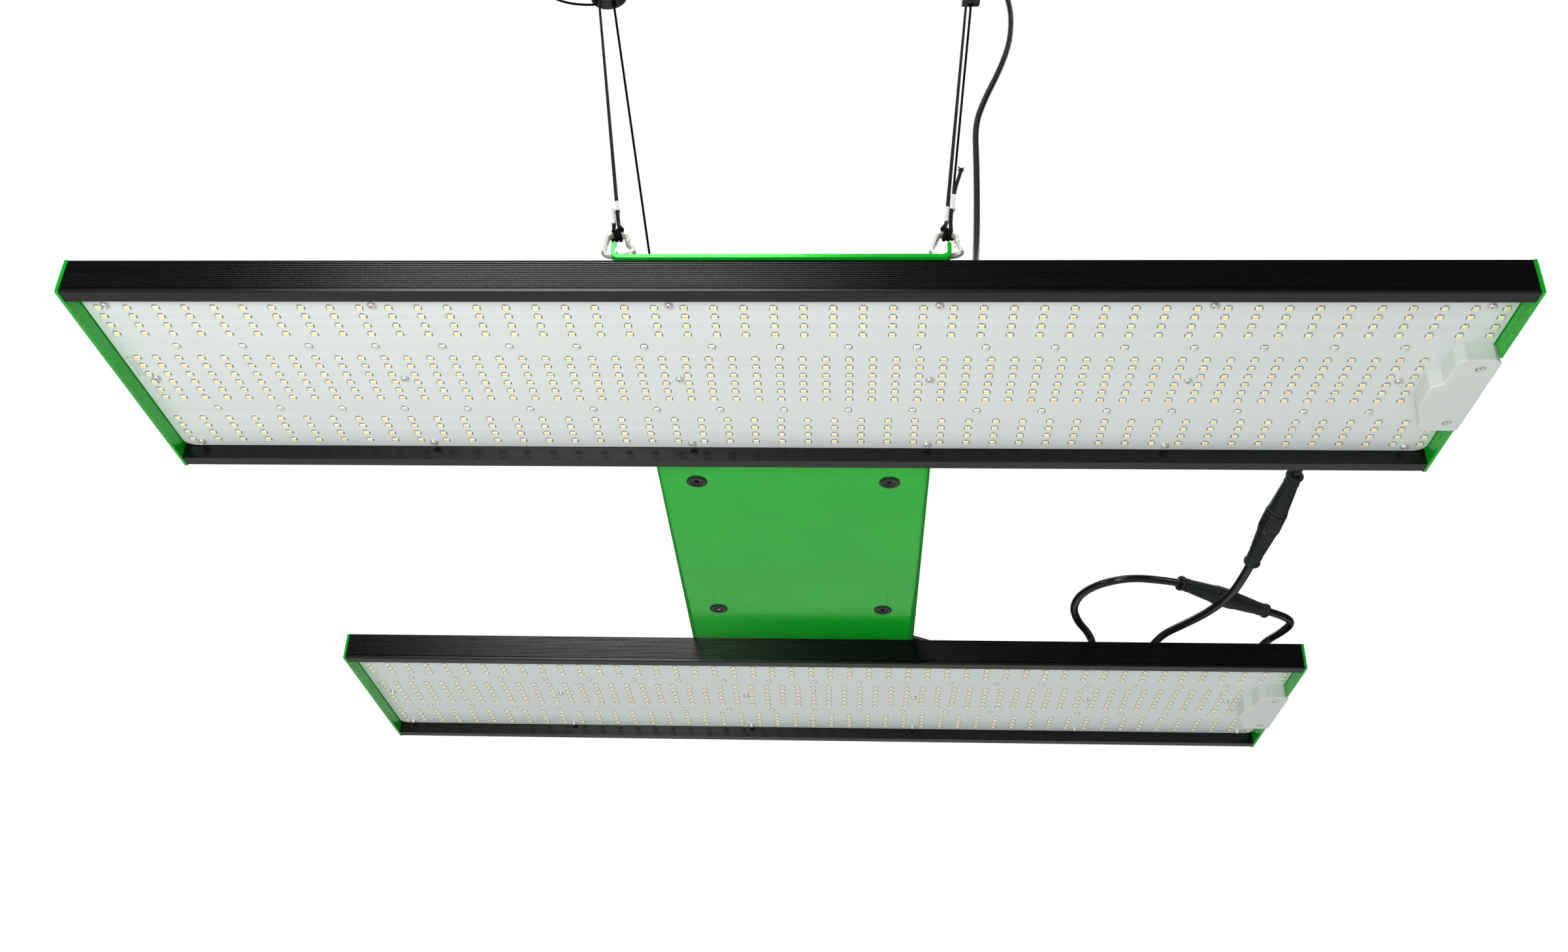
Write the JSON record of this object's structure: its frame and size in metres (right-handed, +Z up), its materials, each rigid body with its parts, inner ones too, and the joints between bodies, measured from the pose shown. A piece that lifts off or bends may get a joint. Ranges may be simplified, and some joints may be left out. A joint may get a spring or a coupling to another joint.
{
  "type": "led grow light",
  "caption": "Hanging LED grow light: ribbed black bars with white LED boards on a green channel bracket, hung on a rope harness, with a driver and joined leads",
  "frame": {"origin": "Midway between the seats of the two ceiling hooks, where the lamp hangs from", "axes": "+Z up, +X along the bars to the end with the leads, +Y away from the side that the lamp is viewed from"},
  "size_m": [0.883, 0.7596, 0.8055],
  "materials": {
    "black_anodised": "black anodised extruded aluminium",
    "green_coat": "glossy green powder coat with fine orange peel on aluminium sheet",
    "board_white": "white solder mask over fibreglass",
    "led_white": "yellow phosphor in a white package",
    "led_warm": "warm phosphor in a white package",
    "led_red": "clear silicone dome over a silver base",
    "bare_aluminium": "extruded aluminium",
    "bright_steel": "nickel-plated steel",
    "black_screw": "black oxide steel",
    "cover_white": "white moulded plastic",
    "terminal_green": "green moulded plastic",
    "driver_black": "black powder coat on aluminium",
    "circuit_green": "green circuit board with potted parts",
    "gland_black": "black nylon",
    "block_plastic": "black glass-filled nylon",
    "wheel_plastic": "off-white acetal",
    "lever_black": "black acetal",
    "rope_black": "black braided polypropylene rope",
    "sleeve_white": "white heat-shrink sleeve",
    "connector_rubber": "black moulded rubber",
    "nut_plastic": "black nylon",
    "lead_jacket": "black cable jacket with a soft gloss",
    "mains_jacket": "black-green cable jacket",
    "plug_black": "black moulded plug with plated pins",
    "strap_fabric": "black hook-and-loop strap"
  },
  "bodies": {
    "lamp": {"bar_bolts": "black_screw", "block_front_shells": "block_plastic", "block_pins": "bright_steel", "block_rear_shells": "block_plastic", "block_screws": "bright_steel", "board_screws": "bright_steel", "bracket": "green_coat", "ceiling_hooks": "bright_steel", "coil_tie": "strap_fabric", "connector_covers": "cover_white", "cord_coil": "mains_jacket", "corner_hooks": "bright_steel", "cover_screws": "bright_steel", "driver_case": "driver_black", "driver_circuit_board": "circuit_green", "driver_end_caps": "driver_black", "driver_glands": "gland_black", "driver_lead_far": "lead_jacket", "driver_lead_near": "lead_jacket", "driver_nuts": "black_screw", "driver_plugs": "connector_rubber", "driver_screws": "black_screw", "end_plate_screws": "black_screw", "front_rails": "black_anodised", "gate_rivets": "bright_steel", "heat_sinks": "bare_aluminium", "lead_glands": "gland_black", "led_boards": "board_white", "left_end_plates": "green_coat", "mains_cord": "mains_jacket", "mains_plug": "plug_black", "pigtail_far": "lead_jacket", "pigtail_near": "lead_jacket", "pigtail_sockets": "connector_rubber", "rear_rails": "black_anodised", "red_emitters": "led_red", "right_end_plates": "green_coat", "rope_eyes": "rope_black", "rope_front_left": "rope_black", "rope_front_right": "rope_black", "rope_knots": "rope_black", "rope_rear_left": "rope_black", "rope_rear_right": "rope_black", "rope_sleeves": "sleeve_white", "tail_left": "rope_black", "terminal_blocks": "terminal_green", "warm_leds": "led_warm", "white_leds": "led_white"},
    "gate_front_left": {"hook_gate_front_left": "bright_steel"},
    "gate_rear_left": {"hook_gate_rear_left": "bright_steel"},
    "gate_front_right": {"hook_gate_front_right": "bright_steel"},
    "gate_rear_right": {"hook_gate_rear_right": "bright_steel"},
    "ceiling_gate_body_left": {"ceiling_gate_left": "bright_steel"},
    "ceiling_gate_body_right": {"ceiling_gate_right": "bright_steel"},
    "wheel_left": {"ratchet_wheel_left": "wheel_plastic"},
    "lever_left": {"release_lever_left": "lever_black"},
    "wheel_right": {"ratchet_wheel_right": "wheel_plastic"},
    "lever_right": {"release_lever_right": "lever_black"},
    "nut_near": {"coupling_nut_near": "nut_plastic"},
    "nut_far": {"coupling_nut_far": "nut_plastic"}
  },
  "joints": [
    {"name": "hook_gate_front_left_hinge", "type": "hinge", "parent": "lamp", "child": "gate_front_left", "pos_m": [-0.07094, -0.36014, -0.72167], "axis": [0, 0.8616, -0.5076], "range_deg": [0, 14], "stiffness_Nm_per_rad": 0.01},
    {"name": "hook_gate_rear_left_hinge", "type": "hinge", "parent": "lamp", "child": "gate_rear_left", "pos_m": [-0.07051, 0.36007, -0.72179], "axis": [0, 0.8586, 0.5127], "range_deg": [0, 14], "stiffness_Nm_per_rad": 0.01},
    {"name": "hook_gate_front_right_hinge", "type": "hinge", "parent": "lamp", "child": "gate_front_right", "pos_m": [0.12961, -0.3609, -0.72285], "axis": [0, 0.863, -0.5053], "range_deg": [0, 14], "stiffness_Nm_per_rad": 0.01},
    {"name": "hook_gate_rear_right_hinge", "type": "hinge", "parent": "lamp", "child": "gate_rear_right", "pos_m": [0.12975, 0.36093, -0.7229], "axis": [0, 0.863, 0.5053], "range_deg": [0, 14], "stiffness_Nm_per_rad": 0.01},
    {"name": "ceiling_gate_left_hinge", "type": "hinge", "parent": "lamp", "child": "ceiling_gate_body_left", "pos_m": [-0.1864, 0.00978, -0.0201], "axis": [-1, 0, 0], "range_deg": [0, 22], "stiffness_Nm_per_rad": 0.02},
    {"name": "ceiling_gate_right_hinge", "type": "hinge", "parent": "lamp", "child": "ceiling_gate_body_right", "pos_m": [0.17662, 0, -0.0201], "axis": [0, -1, 0], "range_deg": [0, 22], "stiffness_Nm_per_rad": 0.02},
    {"name": "ratchet_wheel_left_spin", "type": "hinge", "parent": "lamp", "child": "wheel_left", "pos_m": [-0.1864, 0, -0.09925], "axis": [0, 1, 0], "continuous": true},
    {"name": "release_lever_left_hinge", "type": "hinge", "parent": "lamp", "child": "lever_left", "pos_m": [-0.1744, 0, -0.08175], "axis": [0, 1, 0], "range_deg": [0, 18], "stiffness_Nm_per_rad": 0.02},
    {"name": "ratchet_wheel_right_spin", "type": "hinge", "parent": "lamp", "child": "wheel_right", "pos_m": [0.1864, 0, -0.09925], "axis": [-1, 0, 0], "continuous": true},
    {"name": "release_lever_right_hinge", "type": "hinge", "parent": "lamp", "child": "lever_right", "pos_m": [0.1864, 0.012, -0.08175], "axis": [-1, 0, 0], "range_deg": [0, 18], "stiffness_Nm_per_rad": 0.02},
    {"name": "coupling_nut_near_turn", "type": "hinge", "parent": "lamp", "child": "nut_near", "pos_m": [0.3799, -0.08735, -0.76355], "axis": [-0.1195, 0.9649, -0.2339], "range_deg": [0, 270]},
    {"name": "coupling_nut_far_turn", "type": "hinge", "parent": "lamp", "child": "nut_far", "pos_m": [0.3835, 0.0853, -0.745], "axis": [-0.8591, -0.5113, 0.0207], "range_deg": [0, 270]}
  ]
}
